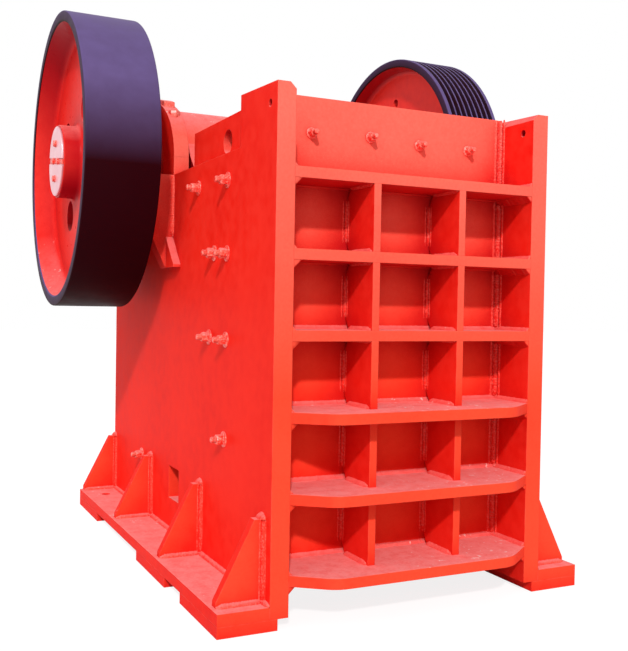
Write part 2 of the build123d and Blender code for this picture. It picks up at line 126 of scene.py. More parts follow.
# Washers, nuts, threads and bolt heads, in thread radii
WASHER_THICK = 0.5
WASHER_FACE = 1.7
NUT_FLATS = 2.9
NUT_HEIGHT = 2.4
THREAD_ROOT = 0.9
THREAD_PITCH = 0.22
THREAD_NECK = 0.92
THREAD_POINT = 0.72
HEAD_WASHER = 1.9
HEAD_WASHER_THICK = 0.3
HEAD_FLATS = 3.0
HEAD_HEIGHT = 1.25
WASHER_SEGMENTS = 40
THREAD_SEGMENTS = 28

# A stud's washer: where its edge rounds over, as shares of its thickness, and how far, as a share of its rim
WASHER_EDGE_FROM = 0.5
WASHER_EDGE_TO = 0.7
WASHER_EDGE = 0.96

# Share of a nut's height at which the thread starts
THREAD_FROM = 0.95

# Studs: thread radii, lengths, washers in thread radii, and places as (behind the front plane, height)
# on the walls and (beside the middle, height) on the front wall
CHEEK_STUD = 0.0155
CHEEK_STUD_LENGTH = 0.068
CHEEK_STUD_WASHER = 2.5
CHEEK_STUD_PLACES = (
    (1.023, 2.004), (0.586, 1.996), (0.764, 1.652), (0.585, 1.643),
    (0.827, 1.231), (0.584, 1.227), (0.592, 0.744), (2.066, 0.446),
)
PANEL_STUD = 0.0125
PANEL_STUD_LENGTH = 0.062
PANEL_STUD_WASHER = 2.2
PANEL_STUD_PLACES = ((-0.439, 2.194), (-0.127, 2.204), (0.147, 2.190), (0.434, 2.189))

# Weld beads: legs, and the steps, ripples and tapered ends along them
LEG = 0.020
LIGHT_LEG = 0.013
UNDER_LEG = {"left": 0.042, "right": 0.032}
UNDER_PASS = 0.009
GUSSET_TOP_LEG = 0.028
BEAD_STEP = 0.0045
FEWEST_STEPS = 3
RIPPLE_PITCH = 0.013
RIPPLE = 0.16
RIPPLE_JITTER = 0.06
TAPER = 0.025
TAPER_END = 0.4

# Sections of weld beads, in legs: the crown of a round or flat fillet, and a pass that lies on a plate
ROUND_CROWN = 0.59
FLAT_CROWN = 0.48
CROWN_SPREAD = 0.15
PASS_SHIFT = 1.4
PASS_FOOT = 0.5
PASS_SHOULDER = 0.3
PASS_SHOULDER_RISE = 0.24
PASS_RISE = 0.32

# Where welds stop: notched corners and set-back ends of the front stiffeners, the reach past a gusset's top,
# the toe beside each bearing bracket, and the shortest run along a base flange
NOTCH_DEPTH = 0.035
NOTCH_HEIGHT = 0.055
STIFFENER_SETBACK = 0.012
GUSSET_TOP_REACH = 0.016
BRACKET_TOE = 0.175
SHORTEST_BEAD = 0.03

# Wheel sections that the frame's boxes don't give
FLYWHEEL_RIM = 0.058
PULLEY_RIM = 0.052
FLYWHEEL_RIM_ROOT = 0.118
PULLEY_RIM_ROOT = 0.066
WEB = 0.070
FLYWHEEL_WEB_INSET = 0.130
PULLEY_WEB_INSET = 0.105
HUB = 0.215
HUB_BORE = 0.125
HUB_INSET = 0.014
CAST_ROUND = 0.035
EDGE_ROUND = 0.007
WHEEL_SEGMENTS = 192
FLYWHEEL_HOLES = {"radius": 0.0925, "circle": 0.361, "count": 4, "turn": math.radians(-57)}
PULLEY_HOLES = {"radius": 0.032, "circle": 0.610, "count": 4, "turn": math.radians(87)}
HOLE_SEGMENTS = 48
HOLE_PAST_WEB = 0.05
GROOVE_COUNT = 8
GROOVE_PITCH = 0.040
GROOVE_DEPTH = 0.030
GROOVE_TOP = 0.031
GROOVE_FLOOR = 0.012
GROOVE_ROUND = 0.002

# Rounded corners of a wheel's section: their steps, and the largest share of a side that one takes
ROUND_STEPS = 5
ROUND_SHARE = 0.45

# Numbers of a wheel's three paints
INSIDE, RIM, GROOVE = range(3)

# Retaining plates on the shaft's ends, and the bar across them. The bar's shoulder and rise are shares of
# the plates' thickness
PLATE_TURN = math.radians(7.7)
PLATE_CHAMFER = 0.003
PLATE_STEPS = 48
PLATE_BAR = 0.034
BAR_GAP = 0.002
BAR_CHAMFER = 0.004
BAR_SHOULDER = 0.5
BAR_RISE = 0.6
PLATE_BOLT = 0.0115
PLATE_BOLT_OVER = 0.103
PLATE_BOLT_ASIDE = 0.075

# Pads and nuts on the bearing caps. The middle of a pad is a share of its height at the ends, and the height
# of a nut is a share of its width
CAP_PAD = 0.034
CAP_PAD_MIDDLE = 0.5
CAP_PAD_REACH = 0.305
CAP_PAD_INSET = 0.012
CAP_PAD_CHAMFER = 0.004
CAP_PAD_SINK = 0.004
CAP_PAD_STEPS = 32
CAP_BOLT_REACH = 0.400
CAP_NUT = 0.058
CAP_NUT_HEIGHT = 0.8

# Bolts round the bearing covers
COVER_BOLTS = 12
COVER_BOLT = 0.014
COVER_BOLT_CIRCLE = 0.288

# Tension spring, and the nuts before the end of its rod
SPRING_TURNS = 6
SPRING_WIRE = 0.012
SPRING_STEPS = 40
WIRE_SEGMENTS = 12
ROD_NUT_PLACES = (0.045, 0.024)
ROD_NUT_FLATS = 0.092
ROD_NUT_HEIGHT = 0.02
ROD_NUT_TURN = 0.3

rng = random.Random(11)


class Shape:
    """Points and faces gathered for one mesh. Each face has the number of its material."""

    def __init__(self):
        self.points = []
        self.faces = []
        self.paints = []

    def loft(self, rings, paints=None, ring_of_rings=False):
        """Skins rings of equal length. The ends are closed, or joined to each other in a ring of rings."""
        size = len(rings[0])
        count = len(rings) if ring_of_rings else len(rings) - 1
        first = len(self.points)
        self.points += [tuple(point) for ring in rings for point in ring]
        for row in range(count):
            low = first + row * size
            high = first + (row + 1) % len(rings) * size
            for column in range(size):
                after = (column + 1) % size
                self.faces.append((low + column, low + after, high + after, high + column))
                self.paints.append(paints[row] if paints else 0)
        if not ring_of_rings:
            last = first + (len(rings) - 1) * size
            self.faces.append(tuple(range(first + size - 1, first - 1, -1)))
            self.faces.append(tuple(range(last, last + size)))
            self.paints += [paints[0], paints[-1]] if paints else [0, 0]


def make_mesh(name, shape, materials):
    """A mesh of a shape, with its normals outward."""
    mesh = bpy.data.meshes.new(name)
    mesh.from_pydata(shape.points, [], shape.faces)
    mesh.polygons.foreach_set("material_index", shape.paints)
    for material in materials:
        mesh.materials.append(material)
    working = bmesh.new()
    working.from_mesh(mesh)
    bmesh.ops.recalc_face_normals(working, faces=working.faces)
    working.to_mesh(mesh)
    working.free()
    return mesh


def add_piece(name, shape, materials, body, crease=CREASE):
    """Makes a piece from a shape, with its edges sharp above the crease angle."""
    mesh = make_mesh(name, shape, materials)
    mesh.shade_smooth()
    mesh.set_sharp_from_angle(angle=math.radians(crease))
    piece = bpy.data.objects.new(name, mesh)
    bpy.context.scene.collection.objects.link(piece)
    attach(piece, body)
    return piece


def circle(centre, axis, radius, segments, turn=0.0):
    """Points round an axis, in equal steps."""
    side = axis.orthogonal().normalized()
    up = axis.cross(side)
    angles = [turn + 2 * math.pi * number / segments for number in range(segments)]
    return [centre + radius * (math.cos(angle) * side + math.sin(angle) * up) for angle in angles]


def turned(shape, centre, axis, outline, segments):
    """A solid turned from (along, radius) points, from end to end."""
    shape.loft([circle(centre + axis * along, axis, radius, segments) for along, radius in outline])


def rounded(outline):
    """Rounds a closed outline: (along, radius, rounding, paint) corners to (along, radius, paint) points."""
    points = []
    for number, (along, radius, rounding, paint) in enumerate(outline):
        corner = Vector((along, radius))
        back = Vector(outline[number - 1][:2]) - corner
        ahead = Vector(outline[(number + 1) % len(outline)][:2]) - corner
        reach = min(rounding, ROUND_SHARE * back.length, ROUND_SHARE * ahead.length)
        start = corner + back.normalized() * reach
        end = corner + ahead.normalized() * reach
        for step in range(ROUND_STEPS + 1):
            share = step / ROUND_STEPS
            point = start * (1 - share) ** 2 + corner * 2 * share * (1 - share) + end * share ** 2
            points.append((point.x, point.y, paint))
    return points


def hexagon(shape, centre, axis, flats, height, turn):
    """A chamfered nut or bolt head that stands on its centre."""
    corner = flats / math.sqrt(3)
    rings = (
        (0, corner * HEX_FOOT),
        (height * HEX_FOOT_RISE, corner),
        (height * HEX_TOP_RISE, corner),
        (height, corner * HEX_TOP),
    )
    shape.loft([circle(centre + axis * along, axis, radius, 6, turn) for along, radius in rings])


def stud(shape, place, axis, radius, length, washer):
    """A washer, given in thread radii, and a nut on a threaded stud that stands out of a plate."""
    rim = radius * washer
    thick = radius * WASHER_THICK
    turned(shape, place, axis, [
        (-SINK, rim),
        (thick * WASHER_EDGE_FROM, rim),
        (thick * WASHER_EDGE_TO, rim * WASHER_EDGE),
        (thick, radius * WASHER_FACE),
        (thick, radius * THREAD_ROOT),
    ], WASHER_SEGMENTS)
    foot = place + axis * (thick - SINK)
    hexagon(shape, foot, axis, radius * NUT_FLATS, radius * NUT_HEIGHT, rng.uniform(0, 1))
    pitch = radius * THREAD_PITCH
    along = thick + radius * NUT_HEIGHT * THREAD_FROM
    outline = []
    while along < length - pitch * 2:
        outline += [(along, radius * THREAD_ROOT), (along + pitch / 2, radius)]
        along += pitch
    outline += [(length - pitch, radius * THREAD_NECK), (length, radius * THREAD_POINT)]
    turned(shape, place, axis, outline, THREAD_SEGMENTS)


def bolt(shape, place, axis, radius, washer=True):
    """A hexagon bolt head on a plate."""
    lift = radius * HEAD_WASHER_THICK if washer else 0
    if washer:
        rim = radius * HEAD_WASHER
        turned(shape, place, axis, [(-SINK, rim), (lift, rim), (lift, radius)], THREAD_SEGMENTS)
    foot = place + axis * (lift - SINK)
    hexagon(shape, foot, axis, radius * HEAD_FLATS, radius * HEAD_HEIGHT, rng.uniform(0, 1))


def along_weld(start, end, taper):
    """Places along a weld, each with the weld's swell there, which is less at ends that taper."""
    count = max(FEWEST_STEPS, round((end - start).length / BEAD_STEP))
    for number in range(count + 1):
        wave = abs(math.sin(math.pi * number * BEAD_STEP / RIPPLE_PITCH))
        swell = 1 - RIPPLE + RIPPLE * wave + rng.uniform(-RIPPLE_JITTER, RIPPLE_JITTER)
        if taper:
            swell *= min(1, TAPER_END + (1 - TAPER_END) * min(number, count - number) * BEAD_STEP / TAPER)
        yield start.lerp(end, number / count), swell


def bead(shape, start, end, side, up, leg=LEG, crown=ROUND_CROWN, taper=True):
    """A fillet weld with its ripples, in the corner of two plates that run along side and up from it."""
    rings = []
    for at, share in along_weld(start, end, taper):
        swell = leg * share
        near, far = swell * (crown - CROWN_SPREAD), swell * (crown + CROWN_SPREAD)
        rings.append([
            at - (side + up) * SINK,
            at + side * swell - up * SINK,
            at + side * far + up * near,
            at + side * near + up * far,
            at + up * swell - side * SINK,
        ])
    shape.loft(rings)


def flat_pass(shape, start, end, side, up, width):
    """A weld pass that lies on a plate beside another, and stands up from it."""
    rings = []
    for at, share in along_weld(start, end, True):
        swell = width * share
        rings.append([
            at - side * swell * PASS_FOOT - up * SINK,
            at + side * swell * PASS_FOOT - up * SINK,
            at + side * swell * PASS_SHOULDER + up * swell * PASS_SHOULDER_RISE,
            at + up * swell * PASS_RISE,
            at - side * swell * PASS_SHOULDER + up * swell * PASS_SHOULDER_RISE,
        ])
    shape.loft(rings)


def corner_weld(shape, start, end, side, up, leg=LEG):
    """A corner filled in three passes: one in the corner and one on each plate."""
    bead(shape, start, end, side, up, leg)
    for along, out in ((side, up), (up, side)):
        shift = along * leg * PASS_SHIFT
        flat_pass(shape, start + shift, end + shift, along, out, leg)


def node(tree, kind, inputs=None, **settings):
    """Adds a shader node. An input is a value, or the socket that feeds it."""
    made = tree.nodes.new("ShaderNode" + kind)
    for key, value in settings.items():
        setattr(made, key, value)
    for key, value in (inputs or {}).items():
        if isinstance(value, bpy.types.NodeSocket):
            tree.links.new(value, made.inputs[key])
        else:
            made.inputs[key].default_value = value
    return made


def noise(tree, place, scale, detail):
    return node(tree, "TexNoise", {"Vector": place, "Scale": scale, "Detail": detail}).outputs[0]


def ramp(tree, value, low, high, start=0.0, stop=1.0):
    """Runs from start to stop while a value runs from low to high."""
    return node(tree, "MapRange", {
        "Value": value, "From Min": low, "From Max": high, "To Min": start, "To Max": stop,
    }).outputs[0]


def times(tree, one, other):
    return node(tree, "Math", {0: one, 1: other}, operation="MULTIPLY").outputs[0]


def plus(tree, one, other):
    return node(tree, "Math", {0: one, 1: other}, operation="ADD").outputs[0]


def larger(tree, one, other):
    return node(tree, "Math", {0: one, 1: other}, operation="MAXIMUM").outputs[0]


def blend(tree, share, one, other):
    return node(tree, "Mix", {0: share, 6: one, 7: other}, data_type="RGBA").outputs[2]


def new_material(name):
    material = bpy.data.materials.new(name)
    material.use_nodes = True
    tree = material.node_tree
    return material, tree, tree.nodes["Principled BSDF"]


def edge_mask(tree, radius):
    """Where a surface turns over an edge, and the rounded normal there."""
    soft = node(tree, "Bevel", {"Radius": radius}, samples=SHADER_SAMPLES).outputs[0]
    flat = node(tree, "NewGeometry").outputs["Normal"]
    level = node(tree, "VectorMath", {0: soft, 1: flat}, operation="DOT_PRODUCT").outputs["Value"]
    return ramp(tree, level, 0.985, 0.8), soft


def red_paint(name, roughness=0.46, dust=1.0, wear=0.5, front_light=0.85, gloss=0.02, rounding=PAINT_EDGE,
              speckle=0.0, shade_and_grime=0.85, closed=0.68, depth=0.2, under=0.45):
    """Sprayed red paint on plate: mottled, paler on its edges, lighter on its open front as painted light,
    darker in its corners and below as painted shade, and dusty on its level faces. Painted corner shade
    starts where less than the share closed of what lies within depth is open, and under is the share of
    painted shade on faces that look down."""
    material, tree, shader = new_material(name)
    coords = node(tree, "TexCoord")
    place = coords.outputs["Object"]
    broad = noise(tree, place, scale=1.6, detail=4)
    mottle = noise(tree, place, scale=17, detail=5)
    grit = noise(tree, place, scale=75, detail=2)
    fine = noise(tree, place, scale=260, detail=2)
    specks = noise(tree, place, scale=42, detail=3)
    facing = node(tree, "SeparateXYZ", {0: coords.outputs["Normal"]})
    height = facing.outputs["Z"]
    level = node(tree, "SeparateXYZ", {0: place}).outputs["Z"]
    open_to = node(tree, "AmbientOcclusion", {"Distance": depth}, samples=SHADER_SAMPLES).outputs["AO"]
    patchy = ramp(tree, mottle, 0.32, 0.62)

    # Shares of the painted light on the open front, the dust on top, the paint chips in it and the painted
    # shade in corners
    front = times(tree, ramp(tree, facing.outputs["Y"], -0.5, -0.95), ramp(tree, open_to, 0.42, 0.85))
    front_light_share = times(tree, front, ramp(tree, plus(tree, broad, grit), 0.7, 1.3, front_light * 0.75, front_light))
    gritty = plus(tree, times(tree, mottle, 0.6), times(tree, grit, 0.4))
    dusty = times(tree, ramp(tree, height, 0.45, 0.95), ramp(tree, gritty, 0.3, 0.58, 0.55 * dust, dust))
    chips = times(tree, ramp(tree, specks, 0.66, 0.69), ramp(tree, broad, 0.48, 0.56))
    flecks = times(tree, chips, ramp(tree, height, 0.2, 0.9, 0.0, 0.75 * dust))
    # Painted shade: darker where little round a point is open, and more of it higher up the frame
    corners = ramp(tree, open_to, closed, closed - 0.42, 0.0, shade_and_grime)
    corner_shade = times(tree, corners, ramp(tree, level, 0.5, 1.6, 0.35, 1.0))

    # Colour, from the ground coat out
    colour = blend(tree, ramp(tree, broad, 0.3, 0.7), RED_DEEP, RED)
    colour = blend(tree, times(tree, patchy, 0.5), colour, RED_PALE)
    # Painted light on the front: paler, and pinker higher up
    front_light_red = blend(tree, ramp(tree, level, 1.0, 2.2), RED_FRONT_LIGHT_LOW, RED_FRONT_LIGHT_HIGH)
    colour = blend(tree, front_light_share, colour, front_light_red)
    # Painted shade in the corners and on faces that look down
    colour = blend(tree, corner_shade, colour, RED_PAINTED_SHADE)
    colour = blend(tree, ramp(tree, height, -0.25, -0.85, 0.0, under), colour, RED_PAINTED_SHADE)
    if speckle:
        dots = ramp(tree, noise(tree, place, scale=110, detail=1), 0.46, 0.64, 0.0, speckle)
        colour = blend(tree, dots, colour, RED_SPECK)
    if rounding:
        edge, soft = edge_mask(tree, rounding)
        colour = blend(tree, times(tree, edge, times(tree, patchy, wear)), colour, RED_EDGE)
    colour = blend(tree, dusty, colour, DUST)
    colour = blend(tree, flecks, colour, FLECK)
    tree.links.new(colour, shader.inputs["Base Color"])

    # Gloss and relief
    dull = ramp(tree, mottle, 0.2, 0.8, roughness - 0.06, roughness + 0.10)
    tree.links.new(plus(tree, dull, times(tree, dusty, 0.22)), shader.inputs["Roughness"])
    shader.inputs["Specular IOR Level"].default_value = gloss
    relief = plus(tree, times(tree, mottle, 0.7), times(tree, fine, 0.3))
    bump = node(tree, "Bump", {"Strength": 0.3, "Distance": 0.0012, "Height": relief})
    if rounding:
        tree.links.new(soft, bump.inputs["Normal"])
    tree.links.new(bump.outputs[0], shader.inputs["Normal"])
    return material


def black_paint():
    """Black on the wheels' rims: painted sheen where it looks up at rest, paler worn edges, painted
    highlight on upper ones.
    """
    material, tree, shader = new_material("black_paint")
    coords = node(tree, "TexCoord")
    place = coords.outputs["Object"]
    mottle = noise(tree, place, scale=12, detail=6)
    grain = noise(tree, place, scale=300, detail=2)
    stretched = node(tree, "Mapping", {"Vector": place, "Scale": (420, 3, 3)}).outputs[0]
    marks = node(tree, "TexNoise", {"Vector": stretched, "Scale": 1.0}).outputs[0]
    height = node(tree, "SeparateXYZ", {0: coords.outputs["Normal"]}).outputs["Z"]
    # Painted sheen on the faces that look up at rest
    painted_sheen = times(tree, ramp(tree, height, -0.12, 0.42), ramp(tree, mottle, 0.3, 0.7, 0.85, 1.0))
    edge, soft = edge_mask(tree, PAINT_EDGE)
    colour = blend(tree, painted_sheen, BLACK, BLACK_SHEEN)
    # Worn edges are paler, and paler still on the upward side as a painted highlight
    colour = blend(tree, times(tree, edge, ramp(tree, height, -0.6, 0.5, 0.25, 0.9)), colour, BLACK_WEAR_AND_HIGHLIGHT)
    tree.links.new(colour, shader.inputs["Base Color"])
    tree.links.new(ramp(tree, mottle, 0.2, 0.8, 0.40, 0.55), shader.inputs["Roughness"])
    shader.inputs["Specular IOR Level"].default_value = 0.03
    relief = plus(tree, times(tree, marks, 0.6), times(tree, grain, 0.4))
    bump = node(tree, "Bump", {"Strength": 0.2, "Distance": 0.0008, "Height": relief, "Normal": soft})
    tree.links.new(bump.outputs[0], shader.inputs["Normal"])
    return material


def groove_paint():
    """Black in the belt grooves, grimy and uneven."""
    material, tree, shader = new_material("groove_paint")
    place = node(tree, "TexCoord").outputs["Object"]
    shade_and_grime = noise(tree, place, scale=22, detail=5)
    colour = blend(tree, ramp(tree, shade_and_grime, 0.35, 0.7), BLACK_GROOVE, BLACK)
    tree.links.new(colour, shader.inputs["Base Color"])
    tree.links.new(ramp(tree, shade_and_grime, 0.2, 0.8, 0.45, 0.65), shader.inputs["Roughness"])
    shader.inputs["Specular IOR Level"].default_value = 0.1
    return material


def bare_steel(name, light, dark, roughness, metallic, scale):
    """Steel with a stained, slightly uneven skin."""
    material, tree, shader = new_material(name)
    place = node(tree, "TexCoord").outputs["Object"]
    stain = noise(tree, place, scale, detail=6)
    grain = noise(tree, place, scale * 14, detail=3)
    edge, soft = edge_mask(tree, STEEL_EDGE)
    colour = blend(tree, ramp(tree, stain, 0.3, 0.7), dark, light)
    colour = blend(tree, times(tree, edge, 0.5), colour, light)
    tree.links.new(colour, shader.inputs["Base Color"])
    dull = ramp(tree, stain, 0.2, 0.8, roughness - 0.08, roughness + 0.1)
    tree.links.new(dull, shader.inputs["Roughness"])
    shader.inputs["Metallic"].default_value = metallic
    relief = plus(tree, times(tree, stain, 0.5), times(tree, grain, 0.5))
    bump = node(tree, "Bump", {"Strength": 0.35, "Distance": 0.0015, "Height": relief, "Normal": soft})
    tree.links.new(bump.outputs[0], shader.inputs["Normal"])
    return material


MATERIALS = {
    "red_paint": red_paint("red_paint"),
    # The wheels' red has strong painted shade in its corners and on faces that look down
    "flywheel_red": red_paint(
        "flywheel_red", roughness=0.30, dust=0.6, front_light=0.2, gloss=0.04, rounding=0,
        closed=1.05, depth=0.35, under=0.9,
    ),
    "pulley_red": red_paint(
        "pulley_red", roughness=0.40, dust=0.6, front_light=0.9, gloss=0.14, rounding=0,
        shade_and_grime=0.5, depth=0.3, under=0.85,
    ),
    "weld_paint": red_paint(
        "weld_paint", roughness=0.34, dust=0.7, wear=0.9, gloss=0.15, speckle=0.3, shade_and_grime=0.6,
    ),
    "bolt_paint": red_paint(
        "bolt_paint", roughness=0.30, dust=0.8, wear=1.0, gloss=0.40, speckle=0.85, shade_and_grime=0.0, under=0.0,
    ),
    "black_paint": black_paint(),
    "groove_paint": groove_paint(),
    "jaw_steel": bare_steel(
        "jaw_steel", (0.30, 0.27, 0.25, 1), (0.16, 0.14, 0.13, 1), roughness=0.55, metallic=0.75, scale=9,
    ),
    "machined_steel": bare_steel(
        "machined_steel", (0.70, 0.67, 0.66, 1), (0.55, 0.52, 0.51, 1), roughness=0.3, metallic=1, scale=14,
    ),
    "plate_steel": bare_steel(
        "plate_steel", (0.90, 0.56, 0.60, 1), (0.84, 0.40, 0.45, 1), roughness=0.36, metallic=0.6, scale=11,
    ),
    "dark_steel": bare_steel(
        "dark_steel", (0.14, 0.13, 0.13, 1), (0.07, 0.06, 0.06, 1), roughness=0.5, metallic=0.8, scale=10,
    ),
}


def paint_nodes():
    """Paints the model's own nodes by their slots."""
    for part in frame["nodes"].values():
        slot = part.data.materials[0].name.split(".")[0]
        part.data.materials.clear()
        part.data.materials.append(MATERIALS["black_paint" if slot == "wheel_paint" else slot])


def cut_away(piece, cutter):
    """Cuts a shape out of a piece for good."""
    tool = bpy.data.objects.new("cutter", make_mesh("cutter", cutter, []))
    bpy.context.scene.collection.objects.link(tool)
    modifier = piece.modifiers.new("cut", "BOOLEAN")
    modifier.object = tool
    modifier.solver = "EXACT"
    graph = bpy.context.evaluated_depsgraph_get()
    cut = bpy.data.meshes.new_from_object(piece.evaluated_get(graph))
    piece.modifiers.clear()
    piece.data = cut
    cut.set_sharp_from_angle(angle=math.radians(WHEEL_CREASE))
    bpy.data.objects.remove(tool)


def wheel(name, red, outline, holes, web_from, web_to):
    """A cast wheel swept from its rounded section, with round holes cut through its web."""
    section = rounded(outline)
    axis_point = Vector((0, SHAFT.y, SHAFT.z))
    angles = [2 * math.pi * number / WHEEL_SEGMENTS for number in range(WHEEL_SEGMENTS)]
    rings = []
    for along, radius, _ in section:
        rings.append([
            axis_point + Vector((along, radius * math.cos(angle), radius * math.sin(angle)))
            for angle in angles
        ])
    shape = Shape()
    shape.loft(rings, [paint for _, _, paint in section], ring_of_rings=True)
    paints = [MATERIALS[paint] for paint in (red, "black_paint", "groove_paint")]
    piece = add_piece(name, shape, paints, "drive", WHEEL_CREASE)
    cutter = Shape()
    for number in range(holes["count"]):
        turn = holes["turn"] + 2 * math.pi * number / holes["count"]
        centre = axis_point + holes["circle"] * Vector((0, math.cos(turn), math.sin(turn)))
        ends = [(along, holes["radius"]) for along in (web_from - HOLE_PAST_WEB, web_to + HOLE_PAST_WEB)]
        turned(cutter, centre, X, ends, HOLE_SEGMENTS)
    cut_away(piece, cutter)
    return piece


def add_flywheel():
    low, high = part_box("flywheel")
    outer, inside = low.x, high.x
    radius = high.z - SHAFT.z
    web_outer = outer + FLYWHEEL_WEB_INSET
    web_inside = web_outer + WEB
    piece = wheel("flywheel_casting", "flywheel_red", [
        (outer, radius - FLYWHEEL_RIM, EDGE_ROUND, RIM),
        (outer, radius, EDGE_ROUND, RIM),
        (inside, radius, EDGE_ROUND, RIM),
        (inside, radius - FLYWHEEL_RIM, EDGE_ROUND, INSIDE),
        (web_inside, radius - FLYWHEEL_RIM_ROOT, CAST_ROUND, INSIDE),
        (web_inside, HUB, CAST_ROUND, INSIDE),
        (inside, HUB, EDGE_ROUND, INSIDE),
        (inside, HUB_BORE, EDGE_ROUND, INSIDE),
        (outer + HUB_INSET, HUB_BORE, EDGE_ROUND, INSIDE),
        (outer + HUB_INSET, HUB, EDGE_ROUND, INSIDE),
        (web_outer, HUB, CAST_ROUND, INSIDE),
        (web_outer, radius - FLYWHEEL_RIM_ROOT, CAST_ROUND, INSIDE),
    ], FLYWHEEL_HOLES, web_outer, web_inside)
    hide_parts("flywheel")


def add_pulley():
    low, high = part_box("belt_pulley")
    inside, outer = low.x, high.x
    radius = high.z - SHAFT.z
    web_inside = inside + PULLEY_WEB_INSET
    web_outer = web_inside + WEB
    edge = (outer - inside - GROOVE_PITCH * GROOVE_COUNT) / 2
    grooves = []
    for number in range(GROOVE_COUNT):
        centre = inside + edge + GROOVE_PITCH * (number + 0.5)
        for along, depth, paint in (
            (-GROOVE_TOP / 2, 0, GROOVE), (-GROOVE_FLOOR / 2, GROOVE_DEPTH, GROOVE),
            (GROOVE_FLOOR / 2, GROOVE_DEPTH, GROOVE), (GROOVE_TOP / 2, 0, RIM),
        ):
            grooves.append((centre + along, radius - depth, GROOVE_ROUND, paint))
    piece = wheel("pulley_casting", "pulley_red", [
        (inside, radius - PULLEY_RIM, EDGE_ROUND, RIM),
        (inside, radius, EDGE_ROUND, RIM),
        *grooves,
        (outer, radius, EDGE_ROUND, RIM),
        (outer, radius - PULLEY_RIM, EDGE_ROUND, INSIDE),
        (web_outer, radius - PULLEY_RIM_ROOT, CAST_ROUND, INSIDE),
        (web_outer, HUB, CAST_ROUND, INSIDE),
        (outer - HUB_INSET, HUB, EDGE_ROUND, INSIDE),
        (outer - HUB_INSET, HUB_BORE, EDGE_ROUND, INSIDE),
        (inside, HUB_BORE, EDGE_ROUND, INSIDE),
        (inside, HUB, EDGE_ROUND, INSIDE),
        (web_inside, HUB, CAST_ROUND, INSIDE),
        (web_inside, radius - PULLEY_RIM_ROOT, CAST_ROUND, INSIDE),
    ], PULLEY_HOLES, web_inside, web_outer)
    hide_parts("belt_pulley")


def add_end_plates():
    """The hubs' retaining plates: two halves, a painted bar between them, and their bolts."""
    along_bar = Vector((0, math.cos(PLATE_TURN), math.sin(PLATE_TURN)))
    over_bar = Vector((0, -math.sin(PLATE_TURN), math.cos(PLATE_TURN)))
    for side, sign in SIDES.items():
        low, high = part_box("shaft_end_plate_" + side)
        axis = X * sign
        face = low.x if sign > 0 else high.x
        thick = high.x - low.x
        radius = (high.z - low.z) / 2
        centre = Vector((face, SHAFT.y, SHAFT.z))
        shape = Shape()
        for half in (1, -1):
            rings = []
            for out, inset in ((0, 0), (thick - PLATE_CHAMFER, 0), (thick, PLATE_CHAMFER)):
                rim = radius - inset
                start = math.asin((PLATE_BAR / 2 + inset) / rim)
                sweep = math.pi - 2 * start
                angles = [start + sweep * step / PLATE_STEPS for step in range(PLATE_STEPS + 1)]
                rings.append([
                    centre + axis * out
                    + rim * (math.cos(angle) * along_bar + half * math.sin(angle) * over_bar)
                    for angle in angles
                ])
            shape.loft(rings)
        plates = [MATERIALS["plate_steel"]]
        piece = add_piece("end_plate_halves_" + side, shape, plates, "drive")
        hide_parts("shaft_end_plate_" + side)
        heads = Shape()
        rings = []
        for out, inset in ((0, BAR_GAP), (thick * BAR_SHOULDER, BAR_GAP), (thick * BAR_RISE, BAR_CHAMFER)):
            rim = radius - inset
            half = PLATE_BAR / 2 - inset
            reach = math.sqrt(rim ** 2 - half ** 2)
            corners = ((reach, half), (rim, 0), (reach, -half), (-reach, -half), (-rim, 0), (-reach, half))
            rings.append([centre + axis * out + along_bar * a + over_bar * b for a, b in corners])
        heads.loft(rings)
        top = centre + axis * thick
        for over in (PLATE_BOLT_OVER, -PLATE_BOLT_OVER):
            bolt(heads, top + over_bar * over, axis, PLATE_BOLT)
        bar_top = centre + axis * thick * BAR_RISE
        for aside in (PLATE_BOLT_ASIDE, -PLATE_BOLT_ASIDE):
            bolt(heads, bar_top + along_bar * aside, axis, PLATE_BOLT, washer=False)
        add_piece("end_plate_bolts_" + side, heads, [MATERIALS["bolt_paint"]], "drive")


def add_studs():
    """Studs with their nuts on the side walls and on the front wall."""
    for side, sign in SIDES.items():
        shape = Shape()
        for behind, height in CHEEK_STUD_PLACES:
            place = Vector((OUTER[side], FRONT + behind, height))
            stud(shape, place, X * sign, CHEEK_STUD, CHEEK_STUD_LENGTH, CHEEK_STUD_WASHER)
        add_piece("wall_studs_" + side, shape, [MATERIALS["bolt_paint"]], "frame")
    shape = Shape()
    for x, height in PANEL_STUD_PLACES:
        place = Vector((MIDDLE + x, PANEL, height))
        stud(shape, place, -Y, PANEL_STUD, PANEL_STUD_LENGTH, PANEL_STUD_WASHER)
    add_piece("panel_studs", shape, [MATERIALS["bolt_paint"]], "frame")


